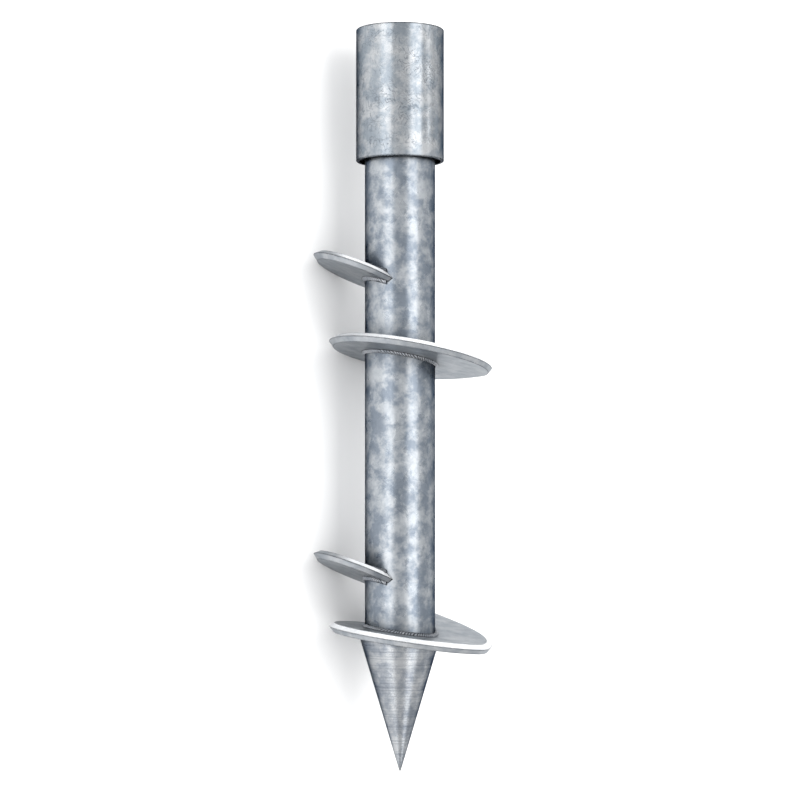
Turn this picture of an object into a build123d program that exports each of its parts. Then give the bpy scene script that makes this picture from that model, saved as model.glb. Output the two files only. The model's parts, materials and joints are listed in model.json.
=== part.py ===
"""Welded ground screw for a post: a steel tube with a drive point, four bevelled blades and a socket sleeve.

The screw is built standing: its axis is Z, the tip of the point is at the origin, and angles run from +X
towards +Y. The last step lays it on its side, the way it comes to rest on a floor.
"""
from build123d import *
import math
import os

# Lengths are in millimetres and angles in degrees.

# Whole screw
overall_length = 800.0

# Main tube
tube_diameter = 76.0
tube_wall = 3.5

# Drive point: a turned cone with a short collar, and a spigot that centres it in the tube
point_cone_length = 140.0
point_base_diameter = 85.0
point_collar_height = 4.0
point_tip_diameter = 1.6
spigot_length = 18.0
spigot_clearance = 0.2

# Socket sleeve at the head, carried on the tube by two spacer rings. The upper ring is the socket's floor.
# The socket is bored wider than the rest of the sleeve, and the cut stops a little above that floor.
sleeve_diameter = 95.0
sleeve_wall = 3.5
sleeve_length = 142.0
sleeve_edge_chamfer = 0.8
socket_depth = 75.0
socket_bore_cut = 1.0
socket_bore_stop = 1.0
spacer_ring_height = 10.0
lower_ring_recess = 14.0
ring_weld_leg = 3.0

# Blade plate: every blade is the same plate, bevelled from both sides to a ridge along its rim
blade_thickness = 10.0
blade_top_bevel = 6.0
blade_bottom_bevel = 4.0
blade_ridge_lift = 0.4

# Full blades: a disc set off the axis, cut through at the back, with the end past the cut bent up or down
full_blade_radius = 88.0
full_blade_offset = 11.5
full_blade_cut_angle = 90.0
full_blade_cut_gap = 8.0
upper_full_blade_height = 450.8
upper_full_blade_slope_x = -0.17
upper_full_blade_slope_y = -0.089
upper_full_blade_end_bend = -9.2
upper_full_blade_bend_angle = 60.0
lower_full_blade_height = 145.6
lower_full_blade_slope_x = -0.14
lower_full_blade_slope_y = 0.03
lower_full_blade_end_bend = 28.0
lower_full_blade_bend_angle = 110.0
bend_curve = 1.35

# Half blades: a smaller disc set far off the axis, so that only a crescent stands out of the tube
half_blade_radius = 51.1
half_blade_offset = 42.3
half_blade_slope_x = -0.38
upper_half_blade_slope_y = -0.1
lower_half_blade_slope_y = -0.15
upper_half_blade_height = 521.5
lower_half_blade_height = 198.5

# Welds between the blades and what carries them
blade_weld_leg = 3.5
weld_bulge = 0.6
weld_clearance = 0.1

# How far a plate is first drawn into the tube that trims it, and how finely it is drawn round the axis
trim_depth = 9.0
section_step = 12.0

tube_radius = tube_diameter / 2
tube_bore_radius = tube_radius - tube_wall
point_base_radius = point_base_diameter / 2
tube_foot = point_cone_length + point_collar_height
sleeve_foot = overall_length - sleeve_length
socket_floor = overall_length - socket_depth
sleeve_bore_radius = sleeve_diameter / 2 - sleeve_wall
socket_radius = sleeve_bore_radius + socket_bore_cut


class Blade:
    """One blade: its round outline, the plane it leans in, the stretch it spans and the bend at its end."""

    def __init__(self, radius, offset, toward, height, slope_x, slope_y):
        self.radius = radius
        self.offset = offset
        self.toward = toward
        self.height = height
        self.slope_x = slope_x
        self.slope_y = slope_y
        self.end_bend = 0.0
        self.bend_angle = 1.0

    def span(self, start, end, weld_start, weld_end):
        """Sets the angles between which the plate runs, and those between which it is welded."""
        self.start = start
        self.end = end
        self.weld_start = weld_start
        self.weld_end = weld_end

    def bend(self, rise, angle):
        """Bends the last stretch of the plate up by a rise, or down by a negative one."""
        self.end_bend = rise
        self.bend_angle = angle

    def reach(self, angle, inset=0.0):
        """Distance from the tube's axis to the outline, or to a circle that lies inside it by an inset."""
        turn = math.radians(angle - self.toward)
        radius = self.radius - inset
        return self.offset * math.cos(turn) + math.sqrt(radius**2 - (self.offset * math.sin(turn)) ** 2)

    def middle(self, angle, distance):
        """Height of the middle of the plate at a distance from the axis."""
        turn = math.radians(angle)
        lean = distance * (self.slope_x * math.cos(turn) + self.slope_y * math.sin(turn))
        share = min(max((angle - self.end + self.bend_angle) / self.bend_angle, 0.0), 1.0)
        return self.height + lean + self.end_bend * share**bend_curve

    def angles(self, start, end):
        """Evenly spaced angles along a stretch of the blade."""
        count = math.ceil((end - start) / section_step)
        return [start + (end - start) * i / count for i in range(count + 1)]


def full_blade(height, slope_x, slope_y):
    """Cut through from rim to tube, with a narrow gap between the two ends."""
    half_gap = math.degrees(full_blade_cut_gap / 2 / full_blade_radius)
    start = full_blade_cut_angle - 360 + half_gap
    end = full_blade_cut_angle - half_gap
    blade = Blade(full_blade_radius, full_blade_offset, 0.0, height, slope_x, slope_y)
    blade.span(start, end, start, end)
    return blade


def half_blade_span(distance, inset=0.0):
    """Half the angle over which a half blade's outline, or a circle inside it, passes a distance."""
    squares = distance**2 + half_blade_offset**2 - (half_blade_radius - inset) ** 2
    return math.degrees(math.acos(squares / (2 * distance * half_blade_offset)))


def half_blade(height, slope_y):
    """The plate runs a little past where its outline enters the tube, and the welds stop at its bevel."""
    drawn = half_blade_span(tube_radius - trim_depth / 2)
    welded = half_blade_span(tube_radius, blade_top_bevel)
    blade = Blade(half_blade_radius, half_blade_offset, 180.0, height, half_blade_slope_x, slope_y)
    blade.span(180.0 - drawn, 180.0 + drawn, 180.0 - welded, 180.0 + welded)
    return blade


def radial_face(angle, points):
    """A face in the half-plane at an angle round the axis, from (distance, height) points."""
    turn = math.radians(angle)
    corners = [(d * math.cos(turn), d * math.sin(turn), h) for d, h in points]
    return make_face(Polyline(*corners, close=True))


def blade_plate(blade):
    """The plate, drawn into the tube by trim_depth, with the two bevels that meet at the rim."""
    half = blade_thickness / 2
    root = tube_radius - 2 * trim_depth

    def section(angle):
        rim = blade.reach(angle)
        top = blade.reach(angle, blade_top_bevel)
        bottom = blade.reach(angle, blade_bottom_bevel)
        return radial_face(
            angle,
            [
                (root, blade.middle(angle, root) - half),
                (bottom, blade.middle(angle, bottom) - half),
                (rim, blade.middle(angle, rim) + blade_ridge_lift),
                (top, blade.middle(angle, top) + half),
                (root, blade.middle(angle, root) + half),
            ],
        )

    return loft([section(angle) for angle in blade.angles(blade.start, blade.end)])


def weld_bead(blade, side, wall):
    """A bead in the corner between a wall and the blade: side is 1 on top and -1 underneath.

    The wall is a function from a height to the radius of the surface that the blade stands out from.
    """
    half = blade_thickness / 2

    def section(angle):
        corner = wall(blade.middle(angle, tube_radius) + side * half) + weld_clearance
        face = blade.middle(angle, corner) + side * half
        toe = corner + blade_weld_leg
        crest = face + side * blade_weld_leg
        return radial_face(
            angle,
            [
                (corner, face + side * weld_clearance),
                (toe, blade.middle(angle, toe) + side * (half + weld_clearance)),
                (corner + weld_bulge * blade_weld_leg, face + side * weld_bulge * blade_weld_leg),
                (corner, crest),
            ],
        )

    return loft([section(angle) for angle in blade.angles(blade.weld_start, blade.weld_end)])


def ring(outer_radius, inner_radius, foot, height):
    """A plain ring round the axis that stands on the height foot."""
    return Pos(0, 0, foot) * extrude(Circle(outer_radius) - Circle(inner_radius), height)


def tube_surface(height):
    return tube_radius


def point_surface(height):
    tip = point_tip_diameter / 2
    return min(tip + (point_base_radius - tip) * height / point_cone_length, point_base_radius)


def shaft_tube():
    return ring(tube_radius, tube_bore_radius, tube_foot, socket_floor - tube_foot)


def drive_point():
    """Turned in one piece: the cone, the collar that the tube stands on, and the spigot."""
    spigot_radius = tube_bore_radius - spigot_clearance
    outline = Polyline(
        (0, 0),
        (point_tip_diameter / 2, 0),
        (point_base_radius, point_cone_length),
        (point_base_radius, tube_foot),
        (spigot_radius, tube_foot),
        (spigot_radius, tube_foot + spigot_length),
        (0, tube_foot + spigot_length),
        close=True,
    )
    return revolve(Plane.XZ * make_face(outline), Axis.Z)


def head_sleeve():
    wall = ring(sleeve_diameter / 2, sleeve_bore_radius, sleeve_foot, sleeve_length)
    rims = wall.edges().filter_by(GeomType.CIRCLE)
    outer_rims = rims.filter_by(lambda edge: edge.radius > sleeve_diameter / 2 - sleeve_wall / 2)
    bore_length = socket_depth - socket_bore_stop
    socket = Pos(0, 0, overall_length - bore_length) * extrude(Circle(socket_radius), bore_length)
    return chamfer(outer_rims, sleeve_edge_chamfer) - socket


def spacer_ring(foot):
    return ring(sleeve_bore_radius, tube_radius, foot, spacer_ring_height)


def ring_weld(height):
    """A bead in the corner between the sleeve's bore and a spacer ring's underside."""
    bead = Polyline(
        (sleeve_bore_radius, height),
        (sleeve_bore_radius - ring_weld_leg, height),
        (sleeve_bore_radius, height - ring_weld_leg),
        close=True,
    )
    return revolve(Plane.XZ * make_face(bead), Axis.Z)


def blade_set():
    """The four blades by name, standing."""
    upper_full = full_blade(upper_full_blade_height, upper_full_blade_slope_x, upper_full_blade_slope_y)
    upper_full.bend(upper_full_blade_end_bend, upper_full_blade_bend_angle)
    lower_full = full_blade(lower_full_blade_height, lower_full_blade_slope_x, lower_full_blade_slope_y)
    lower_full.bend(lower_full_blade_end_bend, lower_full_blade_bend_angle)
    return {
        "upper_full_blade": upper_full,
        "lower_full_blade": lower_full,
        "upper_half_blade": half_blade(upper_half_blade_height, upper_half_blade_slope_y),
        "lower_half_blade": half_blade(lower_half_blade_height, lower_half_blade_slope_y),
    }


def screw_pieces():
    """Every piece by name, standing."""
    upper_ring_foot = socket_floor - spacer_ring_height
    lower_ring_foot = sleeve_foot + lower_ring_recess
    tube_core = Pos(0, 0, tube_foot) * extrude(Circle(tube_radius), socket_floor - tube_foot)
    point = drive_point()
    pieces = {
        "shaft_tube": shaft_tube(),
        "drive_point": point,
        "head_sleeve": head_sleeve(),
        "upper_spacer_ring": spacer_ring(upper_ring_foot),
        "lower_spacer_ring": spacer_ring(lower_ring_foot),
        "upper_ring_weld": ring_weld(upper_ring_foot),
        "lower_ring_weld": ring_weld(lower_ring_foot),
    }
    for name, blade in blade_set().items():
        under = point_surface if name == "lower_full_blade" else tube_surface
        pieces[name] = blade_plate(blade) - tube_core - point
        pieces[f"{name}_top_weld"] = weld_bead(blade, 1, tube_surface)
        pieces[f"{name}_bottom_weld"] = weld_bead(blade, -1, under)
    return pieces


def lying_turn():
    """Degrees that the screw rolls from its back until a full blade and a half blade both touch the floor."""
    between_centres = full_blade_offset + half_blade_offset
    return math.degrees(math.asin((full_blade_radius - half_blade_radius) / between_centres))


def laid_down(pieces):
    """Lays the screw on the floor with its head towards +Y, and centres it over the origin."""
    lying = Rot(0, -lying_turn(), 0) * Rot(-90, 0, 0)
    turned = {name: lying * piece for name, piece in pieces.items()}
    box = Compound(list(turned.values())).bounding_box()
    to_floor = Pos(-box.center().X, -box.center().Y, -box.min.Z)
    return {name: to_floor * piece for name, piece in turned.items()}


os.makedirs("parts", exist_ok=True)
for node, solid in laid_down(screw_pieces()).items():
    export_step(solid, f"parts/{node}.step")
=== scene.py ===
"""The looks of the ground screw: galvanised steel under soft strip lights, lying on a pale floor.

Lengths are in metres, in the CAD frame: the screw lies along Y with its head towards +Y, and Z is up.
"""
import json
import math

import bmesh
import bpy
from mathutils import Matrix, Vector


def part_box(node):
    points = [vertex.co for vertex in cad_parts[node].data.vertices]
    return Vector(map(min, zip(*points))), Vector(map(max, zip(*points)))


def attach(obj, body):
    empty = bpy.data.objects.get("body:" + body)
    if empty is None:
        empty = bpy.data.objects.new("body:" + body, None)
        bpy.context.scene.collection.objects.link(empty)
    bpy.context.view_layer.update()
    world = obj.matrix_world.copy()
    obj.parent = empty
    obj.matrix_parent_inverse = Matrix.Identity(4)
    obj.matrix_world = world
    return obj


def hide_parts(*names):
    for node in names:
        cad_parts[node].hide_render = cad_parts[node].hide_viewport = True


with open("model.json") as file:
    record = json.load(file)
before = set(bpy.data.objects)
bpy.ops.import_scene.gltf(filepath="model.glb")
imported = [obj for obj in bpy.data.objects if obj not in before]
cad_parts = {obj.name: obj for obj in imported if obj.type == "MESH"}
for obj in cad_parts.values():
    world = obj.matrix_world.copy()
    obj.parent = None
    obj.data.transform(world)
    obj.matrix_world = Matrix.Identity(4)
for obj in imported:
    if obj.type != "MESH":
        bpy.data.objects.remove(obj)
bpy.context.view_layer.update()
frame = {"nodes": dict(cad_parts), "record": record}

# How far the screw lies turned about its axis, with its front up and to one side
screw_turn = math.radians(43.3)

# Camera: it faces the screw's front, so it leans as far from straight above the axis as the screw is turned
camera_lean = screw_turn
camera_distance = 2.714
camera_from_tip = 0.263
camera_lens = 113.0
camera_sensor = 36.0
camera_shift = 0.159

# Ripples on the blades' welds, whose line wanders by two waves: reach, pace and start of each
ripple_length = 0.0032
ripple_height = 0.0009
ripple_curl = 0.9
ripple_sink = 0.9
ripple_wander = ((0.0006, 210.0, 0.0), (0.0004, 530.0, 1.0))
bead_edge = 0.0009
bead_end = 0.003
bead_splits = 4
same_point = 0.00001

# Zinc in its dark and its light patches
tube_colours = ((0.22, 0.25, 0.29), (0.43, 0.45, 0.47))
sleeve_colours = ((0.29, 0.32, 0.35), (0.46, 0.47, 0.48))
point_colours = ((0.24, 0.26, 0.29), (0.42, 0.43, 0.44))
blade_colours = ((0.34, 0.36, 0.38), (0.46, 0.47, 0.48))
# The ring's zinc is painted much darker than the other zinc: painted shade for the dark gap between the
# sleeve and the tube, where the ring sits
ring_shaded_colours = ((0.17, 0.19, 0.21), (0.25, 0.27, 0.29))
weld_colours = ((0.28, 0.30, 0.33), (0.42, 0.43, 0.45))
white = (1.0, 1.0, 1.0)

# How often the marks in the zinc repeat
patch_scale = 52.0
crystal_scale = 105.0
speck_scale = 620.0

# Share of metal in a blade's plate and in its rim slope, which carries a painted highlight
blade_metal = 0.86
highlight_rim_metal = 0.2

# How much the steel mirrors when seen edge on
round_tint = (0.10, 0.11, 0.13)
plate_tint = (0.60, 0.62, 0.64)

# Painted shade: dark in the corners between pieces and near them, and thin dark lines along sharp edges
painted_shade_reach = 0.02
tube_painted_shade_reach = 0.045
point_painted_shade_reach = 0.015
painted_shade_strength = 0.9
painted_shade_colour = (0.10, 0.11, 0.12)
painted_edge_radius = 0.002
painted_edge_strength = 0.9
painted_edge_colour = (0.05, 0.06, 0.07)

# Floor and surroundings
floor_width = 12.0
floor_white = 0.92
floor_grain_scale = 300.0
floor_grain_depth = 0.02
background_white = 1.0
studio_glow = 1.3

# Strip lights: name, angle round the screw, distance, width, length and glow
long_strips = (
    ("overhead_strip", -1.0, 1.7, 1.0, 3.2, 1.9),
    ("left_strip", -79.0, 1.7, 0.85, 3.2, 1.6),
    ("right_strip", 66.0, 2.0, 0.30, 3.2, 0.4),
)
head_strip = ("sleeve_streak", 37.0, 2.0, 0.12, 0.7, 5.0)
head_strip_past_head = 0.52

sleeve_low, sleeve_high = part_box("head_sleeve")
point_low, point_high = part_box("drive_point")
axis_x = (sleeve_low[0] + sleeve_high[0]) / 2
axis_z = (sleeve_low[2] + sleeve_high[2]) / 2
tip_y = point_low[1]
middle_y = (tip_y + sleeve_high[1]) / 2


class Surface:
    """A material with a Principled surface, and short ways to add and join its texture nodes."""

    def __init__(self, name):
        self.material = bpy.data.materials.new(name)
        self.material.use_nodes = True
        self.tree = self.material.node_tree
        self.steel = self.tree.nodes["Principled BSDF"]
        self.steel.inputs["Metallic"].default_value = 1.0
        self.painted_shade_reach = painted_shade_reach
        self.painted_edge_strength = painted_edge_strength
        self.place = self.add("ShaderNodeTexCoord").outputs["Object"]

    def add(self, kind, **settings):
        node = self.tree.nodes.new(kind)
        for name, value in settings.items():
            setattr(node, name, value)
        return node

    def join(self, source, target):
        self.tree.links.new(source, target)

    def stretched(self, scale):
        """The place on the object, scaled differently along X, Y and Z."""
        mapping = self.add("ShaderNodeMapping")
        mapping.inputs["Scale"].default_value = scale
        self.join(self.place, mapping.inputs["Vector"])
        return mapping.outputs["Vector"]

    def noise(self, scale, detail=4.0, roughness=0.55, place=None, swirl=0.0):
        noise = self.add("ShaderNodeTexNoise")
        noise.inputs["Scale"].default_value = scale
        noise.inputs["Distortion"].default_value = swirl
        noise.inputs["Detail"].default_value = detail
        noise.inputs["Roughness"].default_value = roughness
        self.join(place or self.place, noise.inputs["Vector"])
        return noise.outputs["Fac"]

    def wandering(self, scale, reach):
        """The place on the object, pushed about by a noise, which gives what is drawn on it ragged edges."""
        noise = self.add("ShaderNodeTexNoise")
        noise.inputs["Scale"].default_value = scale
        noise.inputs["Detail"].default_value = 4.0
        self.join(self.place, noise.inputs["Vector"])
        push = self.add("ShaderNodeVectorMath", operation="MULTIPLY_ADD")
        push.inputs[1].default_value = (reach, reach, reach)
        self.join(noise.outputs["Color"], push.inputs[0])
        self.join(self.place, push.inputs[2])
        return push.outputs["Vector"]

    def crystals(self):
        """One random value for each crystal of the zinc."""
        cells = self.add("ShaderNodeTexVoronoi")
        cells.inputs["Scale"].default_value = crystal_scale
        self.join(self.wandering(scale=120.0, reach=0.0045), cells.inputs["Vector"])
        parts = self.add("ShaderNodeSeparateColor")
        self.join(cells.outputs["Color"], parts.inputs["Color"])
        return parts.outputs["Red"]

    def ramp(self, value, low, high, low_colour, high_colour):
        ramp = self.add("ShaderNodeValToRGB")
        ramp.color_ramp.elements[0].position = low
        ramp.color_ramp.elements[0].color = (*low_colour, 1.0)
        ramp.color_ramp.elements[1].position = high
        ramp.color_ramp.elements[1].color = (*high_colour, 1.0)
        self.join(value, ramp.inputs["Fac"])
        return ramp.outputs["Color"]

    def spread(self, value, low, high, to_low, to_high):
        """The value's range from low to high, moved to another range."""
        spread = self.add("ShaderNodeMapRange")
        spread.inputs["From Min"].default_value = low
        spread.inputs["From Max"].default_value = high
        spread.inputs["To Min"].default_value = to_low
        spread.inputs["To Max"].default_value = to_high
        self.join(value, spread.inputs["Value"])
        return spread.outputs["Result"]

    def mixed(self, share, first, second, way="MIX"):
        mix = self.add("ShaderNodeMix", data_type="RGBA", blend_type=way)
        if isinstance(share, float):
            mix.inputs["Factor"].default_value = share
        else:
            self.join(share, mix.inputs["Factor"])
        self.join(first, mix.inputs["A"])
        self.join(second, mix.inputs["B"])
        return mix.outputs["Result"]

    def times(self, first, second):
        product = self.add("ShaderNodeMath", operation="MULTIPLY")
        self.join(first, product.inputs[0])
        self.join(second, product.inputs[1])
        return product.outputs["Value"]

    def thin_lines(self, value, level):
        """How far a value is from a level: small along thin curling lines."""
        gap = self.add("ShaderNodeMath", operation="SUBTRACT")
        gap.inputs[1].default_value = level
        self.join(value, gap.inputs[0])
        size = self.add("ShaderNodeMath", operation="ABSOLUTE")
        self.join(gap.outputs["Value"], size.inputs[0])
        return size.outputs["Value"]

    def headward(self):
        """How far the surface faces the head of the screw."""
        parts = self.add("ShaderNodeSeparateXYZ")
        self.join(self.add("ShaderNodeNewGeometry").outputs["Normal"], parts.inputs["Vector"])
        return parts.outputs["Y"]

    def bumped(self, height, distance, under=None):
        bump = self.add("ShaderNodeBump")
        bump.inputs["Strength"].default_value = 1.0
        bump.inputs["Distance"].default_value = distance
        self.join(height, bump.inputs["Height"])
        if under:
            self.join(under, bump.inputs["Normal"])
        return bump.outputs["Normal"]

    def dark_at_grazing(self, tint):
        """Steel that mirrors less where it is seen edge on."""
        self.steel.inputs["Specular Tint"].default_value = (*tint, 1.0)

    def painted_corner_shade(self, colour):
        """Painted shade: darker where pieces meet and near them, over the reach of the ambient occlusion."""
        corner = self.add("ShaderNodeAmbientOcclusion", samples=8)
        corner.inputs["Distance"].default_value = self.painted_shade_reach
        shade = self.ramp(corner.outputs["AO"], 0.25, 0.85, painted_shade_colour, white)
        return self.mixed(painted_shade_strength, colour, shade, "MULTIPLY")

    def painted_edge_lines(self, colour):
        """Painted shade: darker in a thin line along the sharp edges."""
        rounded = self.add("ShaderNodeBevel", samples=4)
        rounded.inputs["Radius"].default_value = painted_edge_radius
        agreement = self.add("ShaderNodeVectorMath", operation="DOT_PRODUCT")
        self.join(rounded.outputs["Normal"], agreement.inputs[0])
        self.join(self.add("ShaderNodeNewGeometry").outputs["Normal"], agreement.inputs[1])
        line = self.ramp(agreement.outputs["Value"], 0.965, 0.997, painted_edge_colour, white)
        return self.mixed(self.painted_edge_strength, colour, line, "MULTIPLY")

    def finish(self, colour, roughness, normal):
        # The base colour carries painted shade in the corners and along the sharp edges
        self.join(self.painted_edge_lines(self.painted_corner_shade(colour)), self.steel.inputs["Base Color"])
        self.join(roughness, self.steel.inputs["Roughness"])
        self.join(normal, self.steel.inputs["Normal"])
        return self.material


def zinc_colour(surface, dark, light):
    """Blue-grey zinc: broad patches, crystals inside them, and fine specks."""
    ragged = surface.wandering(scale=70.0, reach=0.006)
    patches = surface.noise(patch_scale, detail=10.0, roughness=0.66, place=ragged)
    base = surface.ramp(patches, 0.42, 0.59, dark, light)
    crystals = surface.ramp(surface.crystals(), 0.1, 0.9, (0.84, 0.86, 0.88), white)
    specks = surface.ramp(surface.noise(speck_scale, detail=3.0), 0.3, 0.7, (0.90, 0.91, 0.92), white)
    grained = surface.mixed(0.75, base, crystals, "MULTIPLY")
    return surface.mixed(0.7, grained, specks, "MULTIPLY")


def galvanised_tube(name, dark, light):
    """Drawn tube: the patches with fine swirls in the zinc and faint scratches that run along the tube."""
    surface = Surface(name)
    # A longer reach, for painted shadow on the tube under the blades
    surface.painted_shade_reach = tube_painted_shade_reach
    surface.dark_at_grazing(round_tint)
    flow = surface.noise(scale=95.0, detail=6.0, swirl=2.5)
    curls = surface.ramp(flow, 0.44, 0.52, (0.70, 0.72, 0.75), white)
    colour = surface.mixed(0.22, zinc_colour(surface, dark, light), curls, "MULTIPLY")
    drawn = surface.noise(scale=220.0, detail=3.0, place=surface.stretched((1.0, 0.03, 1.0)))
    along = surface.ramp(drawn, 0.3, 0.7, (0.9, 0.9, 0.9), white)
    coloured = surface.mixed(0.6, colour, along, "MULTIPLY")
    rough = surface.spread(surface.crystals(), low=0.0, high=1.0, to_low=0.25, to_high=0.36)
    swell = surface.noise(scale=26.0, detail=2.0, place=surface.stretched((1.0, 0.6, 1.0)))
    waves = surface.bumped(swell, distance=0.0011)
    grain = surface.bumped(surface.noise(scale=90.0, detail=3.0), distance=0.00014, under=waves)
    return surface.finish(coloured, rough, grain)


def polished_sleeve(name, dark, light):
    """Smooth tube that shows straight bands of light, with thin curling lines in the zinc."""
    surface = Surface(name)
    surface.dark_at_grazing(round_tint)
    flow = surface.noise(scale=75.0, detail=4.0, swirl=1.6)
    curls = surface.ramp(surface.thin_lines(flow, level=0.5), 0.0, 0.03, (0.42, 0.44, 0.47), white)
    marked = surface.noise(scale=30.0, detail=2.0)
    where = surface.spread(marked, low=0.42, high=0.58, to_low=0.15, to_high=0.95)
    colour = surface.mixed(where, zinc_colour(surface, dark, light), curls, "MULTIPLY")
    drawn = surface.noise(scale=240.0, detail=4.0, place=surface.stretched((1.0, 0.03, 1.0)))
    along = surface.ramp(drawn, 0.3, 0.7, (0.84, 0.85, 0.86), white)
    coloured = surface.mixed(0.8, colour, along, "MULTIPLY")
    worn = surface.noise(scale=40.0, detail=5.0)
    rough = surface.spread(worn, low=0.3, high=0.7, to_low=0.20, to_high=0.32)
    flats = surface.noise(scale=40.0, detail=1.0, place=surface.stretched((1.0, 0.10, 1.0)))
    return surface.finish(coloured, rough, surface.bumped(flats, distance=0.0007))


def painted_rim_highlight(surface, colour):
    """The colour with a painted highlight on the slope round the top of a blade, stronger in some places
    than in others.
    """
    # Painted highlight: the slope facing the head is painted pale and made less metallic, so the lamps light
    # it pale
    headward = surface.headward()
    leans_up = surface.spread(headward, low=0.10, high=0.30, to_low=0.0, to_high=1.0)
    off_the_top = surface.spread(headward, low=0.84, high=0.90, to_low=1.0, to_high=0.0)
    highlight_patches = surface.noise(scale=14.0, detail=3.0)
    highlight_patchiness = surface.spread(highlight_patches, low=0.35, high=0.60, to_low=0.75, to_high=1.0)
    highlight_share = surface.times(surface.times(leans_up, off_the_top), highlight_patchiness)
    metal = surface.spread(highlight_share, low=0.0, high=1.0, to_low=blade_metal, to_high=highlight_rim_metal)
    surface.join(metal, surface.steel.inputs["Metallic"])
    highlight_mottle = surface.noise(scale=260.0, detail=4.0)
    highlight_colour = surface.ramp(highlight_mottle, 0.3, 0.6, (0.76, 0.78, 0.81), (0.93, 0.94, 0.95))
    return surface.mixed(highlight_share, colour, highlight_colour)


def galvanised_plate(name, dark, light):
    """Rolled plate: the patches with long faint streaks."""
    surface = Surface(name)
    surface.dark_at_grazing(plate_tint)
    colour = zinc_colour(surface, dark, light)
    rolled = surface.noise(scale=150.0, detail=5.0, place=surface.stretched((0.08, 0.5, 1.0)))
    streaks = surface.ramp(rolled, 0.3, 0.7, (0.76, 0.77, 0.80), white)
    coloured = surface.mixed(0.85, colour, streaks, "MULTIPLY")
    worn = surface.noise(scale=70.0, detail=5.0)
    rough = surface.spread(worn, low=0.3, high=0.7, to_low=0.30, to_high=0.44)
    waves = surface.bumped(surface.noise(scale=40.0, detail=2.0), distance=0.0006)
    grain = surface.bumped(rolled, distance=0.00008, under=waves)
    return surface.finish(painted_rim_highlight(surface, coloured), rough, grain)


def turned_steel(name, dark, light):
    """Turned on a lathe: fine lines round the axis under the zinc."""
    surface = Surface(name)
    surface.painted_shade_reach = point_painted_shade_reach
    surface.dark_at_grazing(round_tint)
    colour = zinc_colour(surface, dark, light)
    around = surface.stretched((3.0, 700.0, 3.0))
    cuts = surface.noise(scale=1.0, detail=5.0, roughness=0.7, place=around)
    lines = surface.ramp(cuts, 0.34, 0.52, (0.58, 0.60, 0.64), white)
    coloured = surface.mixed(0.85, colour, lines, "MULTIPLY")
    rough = surface.spread(cuts, low=0.3, high=0.7, to_low=0.30, to_high=0.20)
    return surface.finish(coloured, rough, surface.bumped(cuts, distance=0.00012))


def weld_steel(name, dark, light):
    """Zinc over a weld, with painted shade in the valleys between its ripples."""
    surface = Surface(name)
    # The welds get no painted shade lines along their edges
    surface.painted_edge_strength = 0.0
    height = surface.add("ShaderNodeAttribute", attribute_name="scallop").outputs["Fac"]
    # Painted shade, dark in the valleys between the ripples
    painted_valley_shade = surface.ramp(height, 0.15, 0.75, (0.10, 0.10, 0.11), white)
    colour = surface.mixed(0.9, zinc_colour(surface, dark, light), painted_valley_shade, "MULTIPLY")
    lumps = surface.noise(scale=420.0, detail=4.0)
    rough = surface.spread(surface.noise(scale=160.0), low=0.3, high=0.7, to_low=0.30, to_high=0.46)
    return surface.finish(colour, rough, surface.bumped(lumps, distance=0.0003))


def grey(level):
    """A colour for a node, from one level."""
    return (level, level, level, 1.0)


def floor_material():
    """Matt white paper with a faint grain."""
    material = bpy.data.materials.new("floor_paper")
    material.use_nodes = True
    tree = material.node_tree
    tree.nodes.remove(tree.nodes["Principled BSDF"])
    paper = tree.nodes.new("ShaderNodeBsdfDiffuse")
    grain = tree.nodes.new("ShaderNodeTexNoise")
    grain.inputs["Scale"].default_value = floor_grain_scale
    tint = tree.nodes.new("ShaderNodeValToRGB")
    tint.color_ramp.elements[0].color = grey(floor_white - floor_grain_depth)
    tint.color_ramp.elements[1].color = grey(floor_white)
    tree.links.new(grain.outputs["Fac"], tint.inputs["Fac"])
    tree.links.new(tint.outputs["Color"], paper.inputs["Color"])
    tree.links.new(paper.outputs["BSDF"], tree.nodes["Material Output"].inputs["Surface"])
    return material


def add_floor():
    half = floor_width / 2
    corners = [(-half, -half, 0.0), (half, -half, 0.0), (half, half, 0.0), (-half, half, 0.0)]
    mesh = bpy.data.meshes.new("floor")
    mesh.from_pydata(corners, [], [(0, 1, 2, 3)])
    mesh.materials.append(floor_material())
    floor = bpy.data.objects.new("floor", mesh)
    bpy.context.collection.objects.link(floor)


def either(tree, first, second):
    """One where the first or the second value is one."""
    larger = tree.nodes.new("ShaderNodeMath")
    larger.operation = "MAXIMUM"
    tree.links.new(first, larger.inputs[0])
    tree.links.new(second, larger.inputs[1])
    return larger.outputs["Value"]


def add_world():
    """White to the camera and in what the steel mirrors, and a soft glow for the rest."""
    world = bpy.data.worlds.new("studio")
    world.use_nodes = True
    bpy.context.scene.world = world
    tree = world.node_tree
    tree.nodes.clear()
    rays = tree.nodes.new("ShaderNodeLightPath").outputs
    mirrored = either(tree, rays["Is Camera Ray"], rays["Is Glossy Ray"])
    seen = either(tree, mirrored, rays["Is Transmission Ray"])
    shown = tree.nodes.new("ShaderNodeMix")
    shown.data_type = "RGBA"
    shown.inputs["A"].default_value = grey(studio_glow)
    shown.inputs["B"].default_value = grey(background_white)
    background = tree.nodes.new("ShaderNodeBackground")
    output = tree.nodes.new("ShaderNodeOutputWorld")
    tree.links.new(seen, shown.inputs["Factor"])
    tree.links.new(shown.outputs["Result"], background.inputs["Color"])
    tree.links.new(background.outputs["Background"], output.inputs["Surface"])


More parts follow.
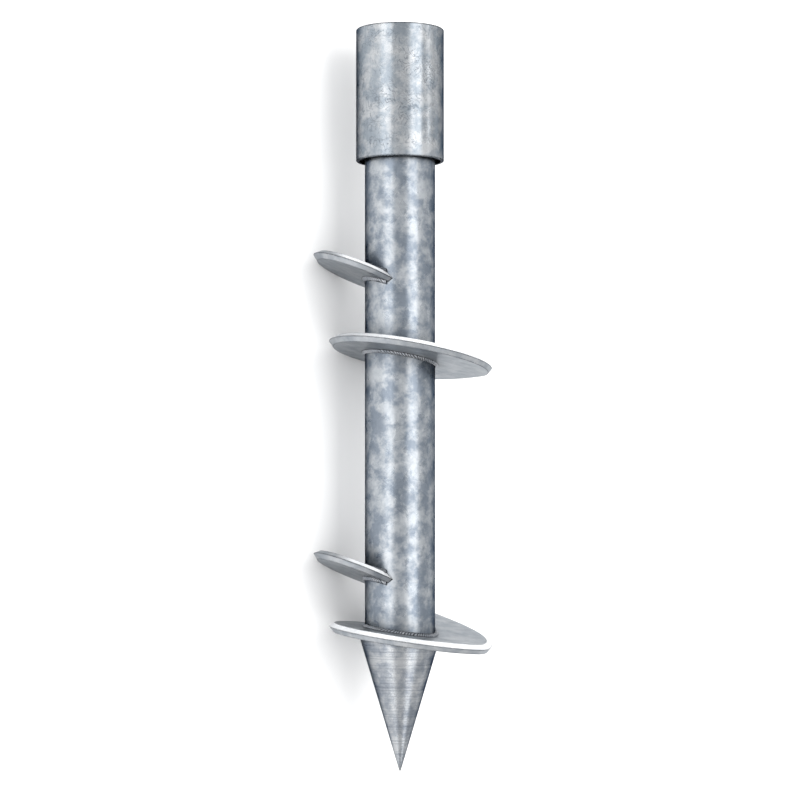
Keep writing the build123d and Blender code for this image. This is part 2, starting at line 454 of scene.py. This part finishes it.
def strip_light(name, around, distance, width, length, glow, middle):
    """A soft strip parallel to the screw, at an angle from straight above it, towards +X."""
    turn = math.radians(around)
    outward = Vector((math.sin(turn), 0.0, math.cos(turn)))
    across = Vector((math.cos(turn), 0.0, -math.sin(turn)))
    data = bpy.data.lights.new(name, "AREA")
    data.shape = "RECTANGLE"
    data.size = width
    data.size_y = length
    data.energy = glow * math.pi * width * length
    lamp = bpy.data.objects.new(name, data)
    lamp.matrix_world = Matrix((across, Vector((0.0, 1.0, 0.0)), outward)).transposed().to_4x4()
    lamp.location = Vector((axis_x, middle, axis_z)) + outward * distance
    bpy.context.collection.objects.link(lamp)


def add_lights():
    for strip in long_strips:
        strip_light(*strip, middle_y)
    strip_light(*head_strip, sleeve_high[1] + head_strip_past_head)


def add_camera():
    data = bpy.data.cameras.new("camera")
    data.lens = camera_lens
    data.sensor_width = camera_sensor
    data.shift_y = camera_shift
    camera = bpy.data.objects.new("camera", data)
    back = Vector((-math.sin(camera_lean), 0.0, math.cos(camera_lean)))
    right = Vector((math.cos(camera_lean), 0.0, math.sin(camera_lean)))
    camera.matrix_world = Matrix((right, Vector((0.0, 1.0, 0.0)), back)).transposed().to_4x4()
    camera.location = Vector((axis_x, tip_y + camera_from_tip, axis_z)) + back * camera_distance
    bpy.context.collection.objects.link(camera)
    bpy.context.scene.camera = camera


def angle_round(point):
    """The angle of a point round the screw's axis, from its front, which is opposite the blades' gaps."""
    return math.remainder(math.atan2(point.x - axis_x, point.z - axis_z) + screw_turn, 2 * math.pi)


def radius_of(point):
    return math.hypot(point.x - axis_x, point.z - axis_z)


def finely_split(plain):
    """A finer copy of a plain bead."""
    shape = bmesh.new()
    shape.from_mesh(plain.data)
    bmesh.ops.remove_doubles(shape, verts=shape.verts, dist=same_point)
    for _ in range(bead_splits):
        long_edges = [edge for edge in shape.edges if edge.calc_length() > bead_edge]
        if not long_edges:
            break
        bmesh.ops.subdivide_edges(shape, edges=long_edges, cuts=1)
        bmesh.ops.triangulate(shape, faces=shape.faces)
    shape.normal_update()
    return shape


def raise_scallops(shape):
    """Raises scallops along the bead, fading at its ends. Gives how high each vertex stands in its own."""
    mean_radius = sum(radius_of(vertex.co) for vertex in shape.verts) / len(shape.verts)
    runs = [mean_radius * angle_round(vertex.co) for vertex in shape.verts]
    first, last = min(runs), max(runs)
    raised = []
    scallops = []
    for vertex, run in zip(shape.verts, runs):
        curl = ripple_curl * (radius_of(vertex.co) - mean_radius)
        wander = sum(reach * math.sin(run * pace + start) for reach, pace, start in ripple_wander)
        scallop = abs(math.sin(math.pi * (run + curl + wander) / ripple_length))
        inside = min(1.0, (run - first) / bead_end, (last - run) / bead_end)
        scallops.append(1.0 - (1.0 - scallop) * inside)
        raised.append(vertex.co + vertex.normal * ripple_height * (scallop - ripple_sink) * inside)
    for vertex, place in zip(shape.verts, raised):
        vertex.co = place
    return scallops


def rippled(node_name, material):
    """A weld bead with ripples along it, in place of the plain bead."""
    shape = finely_split(frame["nodes"][node_name])
    scallops = raise_scallops(shape)
    mesh = bpy.data.meshes.new(node_name + "_rippled")
    shape.to_mesh(mesh)
    shape.free()
    mesh.attributes.new("scallop", "FLOAT", "POINT").data.foreach_set("value", scallops)
    mesh.shade_smooth()
    mesh.materials.append(material)
    bead = bpy.data.objects.new(node_name + "_rippled", mesh)
    bpy.context.collection.objects.link(bead)
    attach(bead, "root")
    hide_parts(node_name)


finishes = {
    "tube_steel": galvanised_tube("tube_zinc", *tube_colours),
    "sleeve_steel": polished_sleeve("sleeve_zinc", *sleeve_colours),
    "point_steel": turned_steel("point_zinc", *point_colours),
    "blade_plate": galvanised_plate("blade_zinc", *blade_colours),
    "ring_steel": galvanised_plate("ring_zinc_shaded", *ring_shaded_colours),
    "weld_metal": weld_steel("weld_zinc", *weld_colours),
}

for part in frame["record"]["subparts"]:
    dressed = frame["nodes"][part["node"]]
    for holder in dressed.material_slots:
        holder.material = finishes[part["material_slot"]]
    if part["node"].endswith("_blade_top_weld") or part["node"].endswith("_blade_bottom_weld"):
        rippled(part["node"], finishes["weld_metal"])

add_floor()
add_world()
add_lights()
add_camera()
bpy.context.scene.view_settings.view_transform = "Standard"
